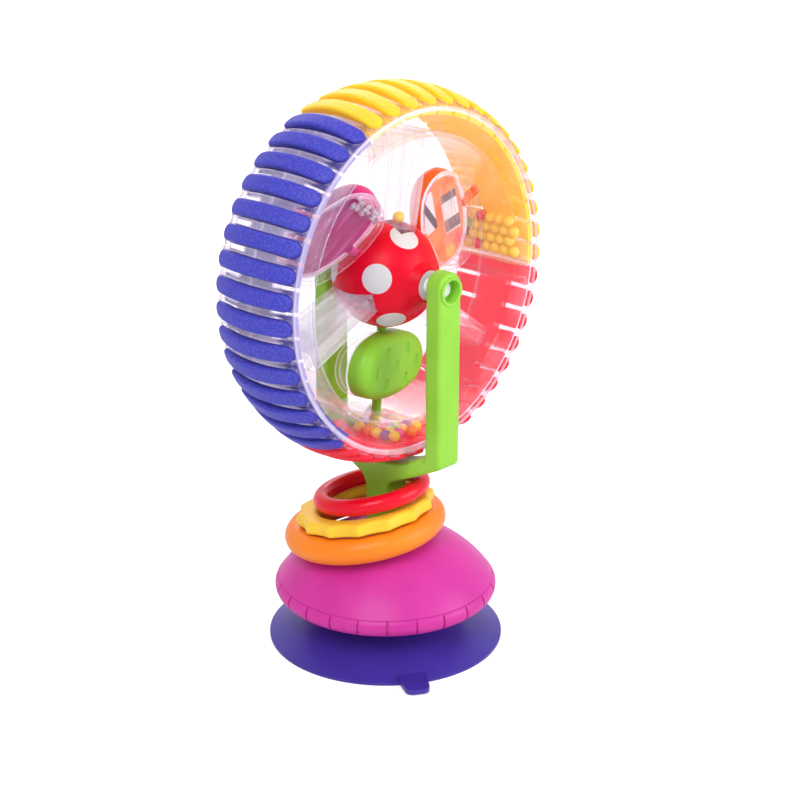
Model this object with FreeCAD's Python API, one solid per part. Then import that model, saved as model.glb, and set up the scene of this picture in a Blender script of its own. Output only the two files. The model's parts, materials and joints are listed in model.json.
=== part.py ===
import FreeCAD
import Part

import math
import os

# A spinning wheel toy that stands on a suction cup, in millimetres.
# The axle of the wheel lies along Y, the base stands at Z = 0, and the origin is
# the centre of the suction cup's lip.

# Wheel: places and widths
axle_height = 121.4
wheel_width = 32.0
wheel_bore_radius = 43.6
shell_wall = 1.5
skin_crown_radius = 56.0
skin_arc_radius = 50.0
bore_edge_round = 3.0
face_edge_round = 1.4

# Treads: ribs that stand out of slots in the clear skin, joined by a band inside
ribs_per_tread = 15
tread_count = 3
first_rib_angle = 117.8
rib_width = 5.0
rib_length = 31.4
rib_proud = 2.6
rib_arc_radius = 33.5
rib_edge_round = 0.9
rib_foot_length = 27.6
tread_thickness = 1.7
band_half_width = 6.0
pad_width = 5.8
pad_length = 28.4
slot_clearance = 0.2
tread_clearance = 0.2
lip_width = 0.7
lip_height = 0.4
lip_gap = 0.25

# Bead chambers and hollow spokes
partition_spread = 7.0
partition_offset = 5.8
spoke_angle = 82.0
spoke_width = 7.0
spoke_half_depth_rim = 10.0
spoke_half_depth_hub = 8.0
spoke_end_radius = 13.2
spoke_edge_round = 1.4

# Hub ball, axle and the sleeves that it runs in
ball_radius = 16.5
ball_wall = 1.5
boss_height = 1.6
boss_top_radius = 5.2
boss_foot_radius = 6.6
axle_radius = 2.45
axle_seat_clearance = 0.05
axle_bearing_clearance = 0.2
axle_chamfer = 0.4
sleeve_radius = 5.4
sleeve_half_length = 10.0
web_thickness = 2.0
notch_clearance = 0.2

# Spinning capsules, each on its own radial pin
first_capsule_angle = 24.5
capsule_turns = {"orange": 10.5, "pink": -33.0, "green": -11.0}
capsule_radius = 28.4
capsule_half_length = 17.5
capsule_half_height = 10.5
capsule_half_depth = 6.6
capsule_end_round = 9.0
capsule_edge_round = 4.0
capsule_wall = 1.3
capsule_joint_gap = 0.1
pivot_radius = 1.5
pivot_clearance = 0.25
pivot_reach = 1.6
card_clearance = 0.3
card_thickness = 0.8
lens_rib_thickness = 1.2
dimple_width = 2.2
dimple_length = 4.6
dimple_depth = 0.7
dimple_pitch = 5.3
dimple_row = 5.0

# Beads
bead_radius = 1.8
bead_gap = 0.15
spoke_bead_radius = 17.8
spoke_bead_depth = 3.0
low_bed_offset = 9.0

# Fork
arm_inner_face = 20.8
arm_thickness = 6.2
arm_width = 9.6
arm_head_offset = 0.9
fork_round = 1.3
wheel_clearance = 1.3
yoke_height_at_arm = 66.3
yoke_corner_height = 65.3
yoke_slope = 26.7
yoke_corner_round = 2.0
neck_depth = 9.2
flare_radius = 5.0
arm_eye_radius = 3.5
arm_eye_depth = 2.8
eye_lip_width = 0.9
eye_lip_height = 0.4
axle_end_show = 0.6

# Loose rings on the neck: centre, lean along X and Y, ring radius, section
orange_ring_centre = (-4.5, 4.7, 37.6)
orange_ring_lean = (-0.075, 0.153)
orange_ring_radius = 21.8
orange_tube_radius = 4.2
yellow_ring_centre = (-6.0, 3.1, 44.55)
yellow_ring_lean = (-0.068, 0.178)
yellow_ring_radius = 18.75
yellow_ring_width = 7.3
yellow_ring_height = 4.4
yellow_ring_round = 1.4
yellow_lobes = 14
yellow_lobe_depth = 1.35
red_ring_centre = (-4.8, 1.5, 50.6)
red_ring_lean = (-0.06, 0.21)
red_ring_radius = 16.1
red_tube_radius = 2.7
ring_bore_flat = 0.1

# Base: dome, skirt and the suction cup
dome_arc_radius = 39.7
dome_arc_offset = 2.4
dome_arc_height = -2.9
dome_top_height = 35.6
dome_wall = 2.0
dome_seam_height = 20.6
skirt_bottom_height = 14.9
skirt_bottom_radius = 33.5
skirt_waist_radius = 35.6
skirt_waist_height = 17.6
skirt_floor = 2.0
seam_gap = 0.15
grip_grooves = 24
groove_width = 0.7
groove_depth = 0.4
neck_clearance = 0.2
socket_wall = 2.0
socket_floor_height = 23.0
socket_floor = 2.0
base_screw_circle = 23.5
base_screw_count = 3
base_screw_radius = 1.3
base_boss_radius = 3.4
screw_head_radius = 2.6
screw_head_height = 1.6
screw_clearance = 0.15
base_screw_length = 8.5
screw_recess = 2.0
cross_half_length = 1.5
cross_half_width = 0.3
cross_depth = 0.8
pad_height = 1.6
thread_gap = 0.05
neck_screw_radius = 1.6
neck_screw_length = 13.0
washer_radius = 4.2
washer_thickness = 0.8

cup_radius = 37.7
cup_lip_height = 0.9
cup_lip_width = 1.1
cup_cavity_depth = 7.0
cup_cavity_middle = (22.0, 4.3)
cup_flank_middle = (23.4, 7.6)
cup_shoulder_drop = 0.8
cup_shoulder_radius = 12.0
cup_groove_radius = 7.0
cup_knob_radius = 8.6
cup_knob_height = 2.6
cup_knob_top_radius = 5.2
cup_knob_top_height = 1.6
cup_fit = 0.1
tab_angle = -122.8
tab_reach = 45.0
tab_root_reach = 32.0
tab_root_width = 10.0
tab_tip_width = 7.2
tab_thickness = 1.6
tab_lift = 0.5
tab_corner_round = 2.4

# Worked out from the sizes above
half_width = wheel_width / 2
wheel_radius = skin_crown_radius + rib_proud
skin_arc_centre = skin_crown_radius - skin_arc_radius
rib_arc_centre = wheel_radius - rib_arc_radius
rib_pitch = 360.0 / (ribs_per_tread * tread_count)
tread_sweep = rib_pitch * ribs_per_tread
inner_arc = skin_arc_radius - shell_wall
tread_outer_arc = inner_arc - tread_clearance
tread_inner_arc = tread_outer_arc - tread_thickness
chamber_floor = wheel_bore_radius + shell_wall
seam_angle = first_rib_angle - rib_pitch / 2
axle_bore = axle_radius + axle_seat_clearance
pole_face = ball_radius + boss_height
arm_outer_face = arm_inner_face + arm_thickness
axle_half_length = arm_outer_face - arm_eye_depth + axle_end_show
boss_height_low = skirt_bottom_height + skirt_floor + pad_height
base_screw_seat = skirt_bottom_height + screw_recess
base_screw_tip = base_screw_seat + base_screw_length
neck_foot_height = socket_floor_height + socket_floor
neck_washer_height = socket_floor_height - washer_thickness
capsule_names = ("orange", "pink", "green")
capsule_angles = {name: first_capsule_angle + tread_sweep * index for index, name in enumerate(capsule_names)}
half_turn = 180.0
full_turn = 360.0
straight_down = 270.0
tolerance = 0.01

ORIGIN = FreeCAD.Vector(0, 0, 0)
X_AXIS = FreeCAD.Vector(1, 0, 0)
Y_AXIS = FreeCAD.Vector(0, 1, 0)
Z_AXIS = FreeCAD.Vector(0, 0, 1)
TO_AXLE = FreeCAD.Vector(0, 0, axle_height)


def at(x, y, z=0.0):
    """A point."""
    return FreeCAD.Vector(x, y, z)


def line(start, end):
    """A straight edge between two points."""
    return Part.LineSegment(start, end).toShape()


def arc(start, middle, end):
    """A round edge through three points."""
    return Part.Arc(start, middle, end).toShape()


def polygon(points):
    """A flat face inside straight edges."""
    return Part.Face(Part.makePolygon(points + [points[0]]))


def turned(shape, angle):
    """A copy of the shape turned about the axle, from +X up towards +Z."""
    copy = shape.copy()
    copy.rotate(ORIGIN, -Y_AXIS, angle)
    return copy


def mirrored(shape):
    """The same shape on the other side of the plane y = 0."""
    return shape.mirror(ORIGIN, Y_AXIS)


def box(x0, x1, y0, y1, z0, z1):
    """A block between two corners."""
    return Part.makeBox(x1 - x0, y1 - y0, z1 - z0, at(x0, y0, z0))


def rod(radius, y0, y1):
    """A cylinder along the axle."""
    return Part.makeCylinder(radius, y1 - y0, at(0, y0), Y_AXIS)


def circle_edges(shape, radius, y):
    """The round edges of one radius about the axle, at one place along it."""
    found = []
    for edge in shape.Edges:
        curve = edge.Curve
        if curve.TypeId != "Part::GeomCircle":
            continue
        if abs(curve.Radius - radius) < 1e-4 and abs(curve.Center.y - y) < 1e-4:
            found.append(edge)
    return found


def arc_radius_at(y, arc_size, centre=skin_arc_centre):
    """Distance from the axle of a crowned arc, at a place along the axle."""
    return centre + math.sqrt(arc_size ** 2 - y ** 2)


def crowned_ring(low_radius, arc_size, y0, y1, start=0.0, sweep=full_turn):
    """A ring about the axle, or a sector of one, with a flat bore and a crowned outside."""
    middle = (y0 + y1) / 2
    left = at(arc_radius_at(y0, arc_size), y0)
    right = at(arc_radius_at(y1, arc_size), y1)
    top = at(arc_radius_at(middle, arc_size), middle)
    edges = [
        line(at(low_radius, y0), left),
        arc(left, top, right),
        line(right, at(low_radius, y1)),
        line(at(low_radius, y1), at(low_radius, y0)),
    ]
    face = turned(Part.Face(Part.Wire(edges)), start)
    return face.revolve(ORIGIN, -Y_AXIS, sweep)


def crowned_band(inner_arc_size, outer_arc_size, y0, y1, outer_centre=skin_arc_centre):
    """A curved band about the axle between two arcs."""
    middle = (y0 + y1) / 2
    points = []
    for size, centre in ((inner_arc_size, skin_arc_centre), (outer_arc_size, outer_centre)):
        for y in (y0, middle, y1):
            points.append(at(arc_radius_at(y, size, centre), y))
    edges = [
        arc(points[0], points[1], points[2]),
        line(points[2], points[5]),
        arc(points[5], points[4], points[3]),
        line(points[3], points[0]),
    ]
    return Part.Face(Part.Wire(edges))


def bar_with_round_ends(width, length, low, high):
    """An upright bar along the axle whose two ends are half round."""
    radius = width / 2
    reach = length / 2 - radius
    edges = [
        line(at(low, -reach, -radius), at(low, reach, -radius)),
        arc(at(low, reach, -radius), at(low, reach + radius, 0), at(low, reach, radius)),
        line(at(low, reach, radius), at(low, -reach, radius)),
        arc(at(low, -reach, radius), at(low, -reach - radius, 0), at(low, -reach, -radius)),
    ]
    return Part.Face(Part.Wire(edges)).extrude(X_AXIS * (high - low))


def rib_angles(tread):
    """Angles of the ribs of one tread."""
    start = first_rib_angle + tread * tread_sweep
    return [start + rib_pitch * index for index in range(ribs_per_tread)]


def partition_angles():
    """Angles of the double walls between the bead chambers."""
    first = seam_angle - (partition_offset - rib_pitch / 2)
    return [first + tread * tread_sweep for tread in range(tread_count)]


def spoke_angles():
    """Angles of the hollow spokes."""
    return [spoke_angle + tread * tread_sweep for tread in range(tread_count)]


def crown_section(inner_arc_size, outer_arc_size, y0, y1, outer_centre=skin_arc_centre):
    """A slice of a crowned band, wide enough for one rib."""
    face = crowned_band(inner_arc_size, outer_arc_size, y0, y1, outer_centre)
    wedge = face.copy()
    wedge.rotate(ORIGIN, -Y_AXIS, -rib_pitch)
    return wedge.revolve(ORIGIN, -Y_AXIS, 2 * rib_pitch)


def make_rib():
    """One rib at angle zero: a cap on the skin, a foot through it and a wider pad below that holds it in."""
    reach = rib_length / 2
    cap_plan = bar_with_round_ends(rib_width, rib_length, wheel_bore_radius, wheel_radius + 1)
    cap = crown_section(skin_arc_radius + tread_clearance / 2, rib_arc_radius, -reach, reach, rib_arc_centre)
    cap = cap.common(cap_plan)
    top_edges = []
    for edge in cap.Edges:
        crowns = [arc_radius_at(vertex.Y, rib_arc_radius, rib_arc_centre) for vertex in edge.Vertexes]
        depths = [crown - vertex.X for crown, vertex in zip(crowns, edge.Vertexes)]
        if max(depths) < rib_proud / 4:
            top_edges.append(edge)
    cap = cap.makeFillet(rib_edge_round, top_edges)
    foot_reach = rib_foot_length / 2
    foot_plan = bar_with_round_ends(rib_width, rib_foot_length, wheel_bore_radius, wheel_radius)
    foot = crown_section(tread_inner_arc, skin_arc_radius + rib_proud / 2, -foot_reach, foot_reach)
    foot = foot.common(foot_plan)
    pad_reach = pad_length / 2
    pad_plan = box(wheel_bore_radius, wheel_radius, -pad_reach, pad_reach, -pad_width / 2, pad_width / 2)
    pad = crown_section(tread_inner_arc, tread_outer_arc, -pad_reach, pad_reach).common(pad_plan)
    return cap.fuse([foot, pad]).removeSplitter()


def make_tread(tread, rib):
    """Fifteen ribs on one inner band."""
    angles = rib_angles(tread)
    band = crowned_band(tread_inner_arc, tread_outer_arc, -band_half_width, band_half_width)
    band.rotate(ORIGIN, -Y_AXIS, angles[0])
    band = band.revolve(ORIGIN, -Y_AXIS, angles[-1] - angles[0])
    ribs = [turned(rib, angle) for angle in angles]
    return band.fuse(ribs).removeSplitter()


def half_spoke(outer_wall):
    """Front half of one hollow spoke at angle zero, shrunk by a wall thickness."""
    half = spoke_width / 2 - outer_wall
    hub = spoke_end_radius + outer_wall
    rim = wheel_bore_radius + shell_wall / 2
    hub_depth = spoke_half_depth_hub - outer_wall
    rim_depth = spoke_half_depth_rim - outer_wall
    face = polygon([
        at(hub, 0, -half),
        at(hub, -hub_depth, -half),
        at(rim, -rim_depth, -half),
        at(rim, 0, -half),
    ])
    return face.extrude(Z_AXIS * 2 * half)


def rounded_half_spoke():
    """The outside of the half spoke with its long front edges rounded."""
    solid = half_spoke(0.0)
    edges = []
    for edge in solid.Edges:
        ends = [vertex.Point for vertex in edge.Vertexes]
        span = abs(ends[0].x - ends[1].x)
        if span > spoke_width and min(abs(ends[0].y), abs(ends[1].y)) > 1:
            edges.append(edge)
    return solid.makeFillet(spoke_edge_round, edges)


def rib_lip():
    """Raised lip on the skin round the front end of one rib, at angle zero."""
    low = wheel_bore_radius
    inner = 2 * lip_gap
    outer = inner + 2 * lip_width
    outside = bar_with_round_ends(rib_width + outer, rib_length + outer, low, wheel_radius)
    inside = bar_with_round_ends(rib_width + inner, rib_length + inner, low, wheel_radius)
    reach = half_width - face_edge_round / 2
    lip = crown_section(skin_arc_radius - shell_wall / 3, skin_arc_radius + lip_height, -reach, 0)
    return lip.common(outside).cut(inside)


def front_rim_ring(inset, arc_size, start=0.0, sweep=full_turn):
    """Front half of the rim's form, set in from its bore and face, with the bore's edge rounded to match."""
    radius = wheel_bore_radius + inset
    front = -half_width + inset
    ring = crowned_ring(radius, arc_size, front, 0, start, sweep)
    return ring.makeFillet(bore_edge_round - inset, circle_edges(ring, radius, front))


def front_rim_third():
    """A third of the front rim: skin, face, bore wall, lips, slots and one double wall."""
    start = seam_angle + rib_pitch
    rim = front_rim_ring(0.0, skin_arc_radius, start, tread_sweep)
    face_corner = arc_radius_at(half_width, skin_arc_radius)
    rim = rim.makeFillet(face_edge_round, circle_edges(rim, face_corner, -half_width))
    rim = rim.cut(front_rim_ring(shell_wall, inner_arc, start, tread_sweep))

    slot_length = rib_foot_length + 2 * slot_clearance
    slot = bar_with_round_ends(rib_width + 2 * slot_clearance, slot_length, chamber_floor + 2, wheel_radius)
    lip = rib_lip()
    angles = [start + rib_pitch * (index + 0.5) for index in range(ribs_per_tread)]
    rim = rim.fuse([turned(lip, angle) for angle in angles])
    rim = rim.cut([turned(slot, angle) for angle in angles])

    bury = shell_wall / 2
    chamber = front_rim_ring(bury, tread_inner_arc - tread_clearance)
    wall = box(wheel_bore_radius, skin_crown_radius, -half_width, 0, -bury, bury)
    middle = partition_angles()[1]
    walls = [turned(wall, middle + side * partition_spread / 2).common(chamber) for side in (-1, 1)]
    rim = rim.fuse(walls)
    hole_start = at(wheel_bore_radius - 1, 0)
    hole = Part.makeCylinder(pivot_radius + pivot_clearance, shell_wall + 2, hole_start, X_AXIS)
    return rim.cut(turned(hole, capsule_angles["pink"]))


def front_spoke():
    """Front half of one hollow spoke at angle zero, with its web to the sleeve."""
    inner = half_spoke(shell_wall)
    hollow = inner.common(box(0, wheel_radius, -half_width, 0, -spoke_width, spoke_width))
    web = box(sleeve_radius - 1, spoke_end_radius + shell_wall / 2, -spoke_half_depth_hub + shell_wall, 0,
              -web_thickness / 2, web_thickness / 2)
    return rounded_half_spoke().cut(hollow).fuse(web)


def make_front_shell():
    """Front half of the clear wheel: three rim thirds, three spokes and the sleeve."""
    window = half_spoke(shell_wall)
    window.translate(X_AXIS * (chamber_floor - wheel_bore_radius))
    place = spoke_angles()[1]
    third = front_rim_third().cut(turned(window, place)).fuse(turned(front_spoke(), place))
    thirds = [turned(third, tread_sweep * index) for index in range(tread_count)]
    sleeve = rod(sleeve_radius, -sleeve_half_length, 0)
    shell = sleeve.fuse(thirds).removeSplitter()
    return shell.cut(rod(axle_bore, -wheel_width, wheel_width))


def make_front_ball():
    """Front half of the hollow hub ball with its pole boss and inner tube."""
    ball = Part.makeSphere(ball_radius)
    foot = math.sqrt(ball_radius ** 2 - boss_foot_radius ** 2)
    boss = Part.makeCone(boss_top_radius, boss_foot_radius, pole_face - foot, at(0, -pole_face), Y_AXIS)
    hollow = Part.makeSphere(ball_radius - ball_wall)
    tube = rod(sleeve_radius, -ball_radius + ball_wall / 2, -sleeve_half_length)
    half = box(-ball_radius, ball_radius, -pole_face, 0, -ball_radius, ball_radius)
    shell = ball.cut(hollow).common(half).fuse([boss, tube])
    shell = shell.cut(rod(axle_bore, -pole_face - 1, 0))
    notch_half = spoke_width / 2 + notch_clearance
    notch_depth = spoke_half_depth_hub + notch_clearance
    notch_reach = math.sqrt(ball_radius ** 2 - notch_half ** 2)
    slope = (spoke_half_depth_rim - spoke_half_depth_hub) / (wheel_bore_radius - spoke_end_radius)
    inner = spoke_end_radius - notch_clearance - ball_wall
    face = polygon([
        at(inner, 0, -notch_half),
        at(inner, -notch_depth, -notch_half),
        at(ball_radius + 1, -notch_depth - slope * (notch_reach - inner), -notch_half),
        at(ball_radius + 1, 0, -notch_half),
    ])
    notch = face.extrude(Z_AXIS * 2 * notch_half)
    cuts = [turned(notch, angle) for angle in spoke_angles()]
    for angle in capsule_angles.values():
        hole = Part.makeCylinder(pivot_radius + pivot_clearance, ball_wall + 2,
                                 at(ball_radius - ball_wall - 1, 0), X_AXIS)
        cuts.append(turned(hole, angle))
    return shell.cut(cuts)


def oval_slab(half_length, half_height, end_round, depth, edge_round):
    """A slab with an oval outline of four arcs, from y = 0 to -depth, with its front edge rounded."""
    reach = half_length - end_round
    side_round = (reach ** 2 + half_height ** 2 - end_round ** 2) / (2 * (half_height - end_round))
    share = side_round / (side_round - end_round)
    join_x = half_height - side_round + (side_round - half_height) * share
    join_z = reach * share
    corners = [at(join_x, 0, -join_z), at(join_x, 0, join_z), at(-join_x, 0, join_z), at(-join_x, 0, -join_z)]
    edges = [
        arc(corners[0], at(half_height, 0), corners[1]),
        arc(corners[1], at(0, 0, half_length), corners[2]),
        arc(corners[2], at(-half_height, 0), corners[3]),
        arc(corners[3], at(0, 0, -half_length), corners[0]),
    ]
    slab = Part.Face(Part.Wire(edges)).extrude(-Y_AXIS * depth)
    if edge_round == 0:
        return slab
    edges = [edge for edge in slab.Edges if max(vertex.Y for vertex in edge.Vertexes) < -depth + tolerance]
    return slab.makeFillet(edge_round, edges)


def capsule_half():
    """Hollow half capsule on the front side of its joint plane, centred on the origin."""
    def layer(inset):
        return oval_slab(capsule_half_length - inset, capsule_half_height - inset, capsule_end_round - inset,
                         capsule_half_depth - inset, capsule_edge_round - inset)

    half = layer(0.0).cut(layer(capsule_wall))
    return half.cut(box(-capsule_half_height, capsule_half_height, -capsule_joint_gap / 2, 1,
                        -capsule_half_length, capsule_half_length))


def pivot_pins():
    """The two stub pins of a capsule, along the wheel's radius."""
    inner_end = -(capsule_radius - ball_radius) - pivot_reach
    outer_end = wheel_bore_radius - capsule_radius + pivot_reach
    root = capsule_half_height - capsule_wall
    return [
        Part.makeCylinder(pivot_radius, -root - inner_end, at(inner_end, 0), X_AXIS),
        Part.makeCylinder(pivot_radius, outer_end - root, at(root, 0), X_AXIS),
    ]


def coloured_half():
    """Half capsule that carries the stub pins."""
    return capsule_half().fuse(pivot_pins())


def clear_half():
    """Half capsule with round notches that clear the stub pins."""
    notches = []
    for side in (-1, 1):
        notch = Part.makeCylinder(pivot_radius + capsule_joint_gap, 2 * capsule_wall + 1,
                                  at(side * capsule_half_height - capsule_wall - 0.5, 0), X_AXIS)
        notches.append(notch)
    return capsule_half().cut(notches)


def place_capsule(shape, name):
    """Move a capsule piece from the origin to its place on the wheel."""
    copy = shape.copy()
    copy.rotate(ORIGIN, X_AXIS, capsule_turns[name])
    copy.translate(X_AXIS * capsule_radius)
    copy = turned(copy, capsule_angles[name])
    copy.translate(TO_AXLE)
    return copy


def dimpled(half):
    """The coloured half with staggered long dimples in its face."""
    half_cut = dimple_width / 2
    size = (half_cut ** 2 + dimple_depth ** 2) / (2 * dimple_depth)
    reach = dimple_length / 2 - half_cut
    depth = -capsule_half_depth - size + dimple_depth
    dimples = []
    for column in (-2, -1, 0, 1, 2):
        rows = (-dimple_row, dimple_row) if column % 2 else (0,)
        for row in rows:
            along = column * dimple_pitch
            dimples.append(Part.makeCylinder(size, 2 * reach, at(row - reach, depth, along), X_AXIS))
            for end in (-reach, reach):
                dimples.append(Part.makeSphere(size, at(row + end, depth, along)))
    return half.cut(dimples)


def ribbed(half):
    """The clear half with a curved rib that runs down its middle, behind the window."""
    rib = oval_slab(capsule_half_length - capsule_edge_round, lens_rib_thickness / 2, lens_rib_thickness / 4,
                    capsule_half_depth - capsule_wall / 2, 0)
    gap = box(-capsule_half_height, capsule_half_height, -card_thickness, 1,
              -capsule_half_length, capsule_half_length)
    return half.fuse(rib.cut(gap))


def make_card(thickness):
    """Oval card that stands in the joint plane of a capsule."""
    inset = capsule_wall + card_clearance
    card = oval_slab(capsule_half_length - inset, capsule_half_height - inset, capsule_end_round - inset,
                     thickness, 0)
    card.translate(Y_AXIS * thickness / 2)
    return card


def make_fork():
    """Neck, yoke and two arms as one piece."""
    outer = arm_outer_face
    inner = arm_inner_face
    head = axle_height + arm_head_offset
    neck = neck_depth / 2
    slope = math.tan(math.radians(yoke_slope))
    floor_arc = rib_arc_radius + wheel_clearance
    arc_height = axle_height - rib_arc_centre
    shelf = math.sqrt(floor_arc ** 2 - (arc_height - yoke_height_at_arm) ** 2)
    knee_height = yoke_corner_height - slope * (outer - neck)
    half = arm_width / 2
    bottom = neck_foot_height

    def p(y, z):
        return at(-half, y, z)

    points = [p(-neck, bottom), p(-neck, knee_height), p(-outer, yoke_corner_height), p(-outer, head),
              p(-inner, head), p(-inner, yoke_height_at_arm), p(-shelf, yoke_height_at_arm)]
    right = [p(-point.y, point.z) for point in reversed(points)]
    edges = []
    for chain in (points, right):
        for index in range(len(chain) - 1):
            edges.append(line(chain[index], chain[index + 1]))
    edges.append(arc(points[-1], p(0, arc_height - floor_arc), right[0]))
    edges.append(line(right[-1], points[0]))
    face = Part.Face(Part.Wire(Part.__sortEdges__(edges)))
    fork = face.extrude(X_AXIS * arm_width)

    def along_x(places):
        found = []
        for edge in fork.Edges:
            ends = [vertex.Point for vertex in edge.Vertexes]
            if abs(abs(ends[0].x - ends[-1].x) - arm_width) > tolerance:
                continue
            for y, z in places:
                if abs(abs(ends[0].y) - y) < tolerance and abs(ends[0].z - z) < tolerance:
                    found.append(edge)
        return found

    fork = fork.makeFillet(flare_radius, along_x([(neck, knee_height)]))
    fork = fork.makeFillet(yoke_corner_round, along_x([(outer, yoke_corner_height)]))
    fork = fork.makeFillet(fork_round, along_x([(inner, yoke_height_at_arm)]))
    rims = []
    for edge in fork.Edges:
        ends = [vertex.Point for vertex in edge.Vertexes]
        on_side = all(abs(abs(end.x) - half) < tolerance for end in ends)
        flat = abs(ends[0].x - ends[-1].x) < tolerance
        level = any(all(abs(end.z - height) < tolerance for end in ends) for height in (head, bottom))
        if on_side and flat and not level:
            rims.append(edge)
    fork = fork.makeFillet(fork_round, rims)

    heads = []
    for side in (-1, 1):
        section = box(-half, half, inner, outer, -half, 0)
        upright = [edge for edge in section.Edges
                   if abs(edge.Vertexes[0].Z - edge.Vertexes[-1].Z) > half - tolerance]
        section = section.makeFillet(fork_round, upright)
        top = [f for f in section.Faces if abs(f.CenterOfMass.z) < tolerance][0]
        half_face = top.common(box(0, half, inner, outer, -1, 1))
        dome = half_face.revolve(ORIGIN, -Y_AXIS, half_turn)
        dome.translate(Z_AXIS * head)
        heads.append(dome if side > 0 else mirrored(dome))
    fork = fork.fuse(heads)

    bore = rod(axle_radius + axle_bearing_clearance, inner - 1, outer)
    eye = rod(arm_eye_radius, outer - arm_eye_depth, outer + 1)
    lip = rod(arm_eye_radius + eye_lip_width, outer - 1, outer + eye_lip_height)
    for shape in (bore, eye, lip):
        shape.translate(TO_AXLE)
    fork = fork.fuse([lip, mirrored(lip)])
    fork = fork.cut([bore, mirrored(bore), eye, mirrored(eye)])
    pilot = Part.makeCylinder(neck_screw_radius, neck_screw_length, at(0, 0, bottom - 1))
    return fork.cut(pilot).removeSplitter()


def lean(shape, centre, slope):
    """Lay a ring at its centre with its axis leaning along X and Y."""
    copy = shape.copy()
    copy.Placement = FreeCAD.Placement(at(*centre), FreeCAD.Rotation(Z_AXIS, at(slope[0], slope[1], 1)))
    return copy


def revolved(points):
    """A solid of revolution about Z through (radius, height) corners.

    An entry of four numbers is an arc: its middle point, then its end point."""
    edges = []
    start = at(points[0][0], 0, points[0][1])
    for place in points[1:] + [points[0]]:
        end = at(place[-2], 0, place[-1])
        if len(place) == 4:
            edges.append(arc(start, at(place[0], 0, place[1]), end))
        else:
            edges.append(line(start, end))
        start = end
    return Part.Face(Part.Wire(edges)).revolve(ORIGIN, Z_AXIS, full_turn)


def post(radius, low, high, x=0.0, y=0.0):
    """An upright cylinder."""
    return Part.makeCylinder(radius, high - low, at(x, y, low))


def round_ring(radius, tube_radius):
    """A ring of round section with a narrow flat all round its hole, where the mould closed."""
    return Part.makeTorus(radius, tube_radius).cut(post(radius - tube_radius + ring_bore_flat, -radius, radius))


def lobed_ring():
    """A flat ring whose outside is cut into shallow hollows between blunt points."""
    outer = yellow_ring_radius + yellow_ring_width / 2
    low = -yellow_ring_height / 2
    ring = post(outer, low, -low).cut(post(outer - yellow_ring_width, low, -low))
    rims = [edge for edge in ring.Edges if edge.Curve.TypeId == "Part::GeomCircle"]
    ring = ring.makeFillet(yellow_ring_round, rims)
    hollows = []
    for index in range(yellow_lobes):
        hollow = post(outer, low - 1, -low + 1, 2 * outer - yellow_lobe_depth)
        hollow.rotate(ORIGIN, Z_AXIS, full_turn * index / yellow_lobes)
        hollows.append(hollow)
    return ring.cut(hollows)


def dome_radius_at(height, inset=0.0):
    """Distance from the middle of the dome's curve, or of one inside it, at a height."""
    return dome_arc_offset + math.sqrt((dome_arc_radius - inset) ** 2 - (height - dome_arc_height) ** 2)


def dome_solid(inset):
    """The dome above its seam as a solid, shrunk by an even amount."""
    low = dome_seam_height
    top = dome_top_height - inset
    middle = (low + top) / 2
    return revolved([
        (0, low),
        (dome_radius_at(low, inset), low),
        (dome_radius_at(middle, inset), middle, dome_radius_at(top, inset), top),
        (0, top),
    ])


def base_screw_places():
    """Centres of the screws that hold the skirt to the dome."""
    places = []
    for index in range(base_screw_count):
        angle = math.radians(90 + full_turn * index / base_screw_count)
        places.append((base_screw_circle * math.cos(angle), base_screw_circle * math.sin(angle)))
    return places


def make_dome():
    """Upper casing: a dome with a socket for the neck and three screw bosses."""
    top = dome_top_height
    half_x = arm_width / 2 + neck_clearance
    half_y = neck_depth / 2 + neck_clearance
    socket = box(-half_x - socket_wall, half_x + socket_wall, -half_y - socket_wall, half_y + socket_wall,
                 socket_floor_height, top)
    bosses = [post(base_boss_radius, boss_height_low, top, x, y) for x, y in base_screw_places()]
    under = post(skirt_bottom_radius, boss_height_low, dome_seam_height)
    inner = socket.fuse(bosses).common(dome_solid(dome_wall / 2).fuse(under))
    dome = dome_solid(0.0).cut(dome_solid(dome_wall)).fuse(inner)
    cuts = [
        box(-half_x, half_x, -half_y, half_y, neck_foot_height, top + 1),
        post(neck_screw_radius + screw_clearance, socket_floor_height - 1, top),
    ]
    for x, y in base_screw_places():
        cuts.append(post(base_screw_radius + thread_gap, boss_height_low - 1, base_screw_tip + 1, x, y))
    return dome.cut(cuts).removeSplitter()


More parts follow.
